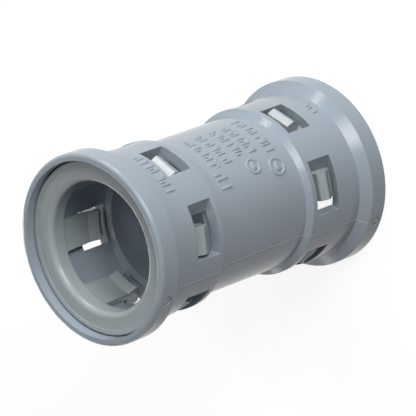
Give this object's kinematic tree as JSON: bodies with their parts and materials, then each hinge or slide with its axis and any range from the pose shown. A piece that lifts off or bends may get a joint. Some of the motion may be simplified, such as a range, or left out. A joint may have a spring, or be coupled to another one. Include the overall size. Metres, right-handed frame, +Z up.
{
  "type": "conduit coupling",
  "caption": "Grey push-in coupling for flexible plastic electrical tubing: a hollow moulded body with a socket at each end, each holding a snap-in retaining ring with hooked fingers.",
  "frame": {"origin": "centre of the circle on which the lower rim stands", "axes": "+Z up along the axis of the bore; Y is the direction in which the body's mould opened, so two windows of each end face -Y and +Y"},
  "size_m": [0.0328, 0.0328, 0.0547],
  "materials": {
    "body_plastic": "moulded blue-grey rigid plastic, satin",
    "ring_plastic": "moulded grey plastic, slightly paler than the body, satin"
  },
  "bodies": {
    "root": {"coupling_body": "body_plastic", "upper_retaining_ring": "ring_plastic", "lower_retaining_ring": "ring_plastic"}
  },
  "joints": []
}
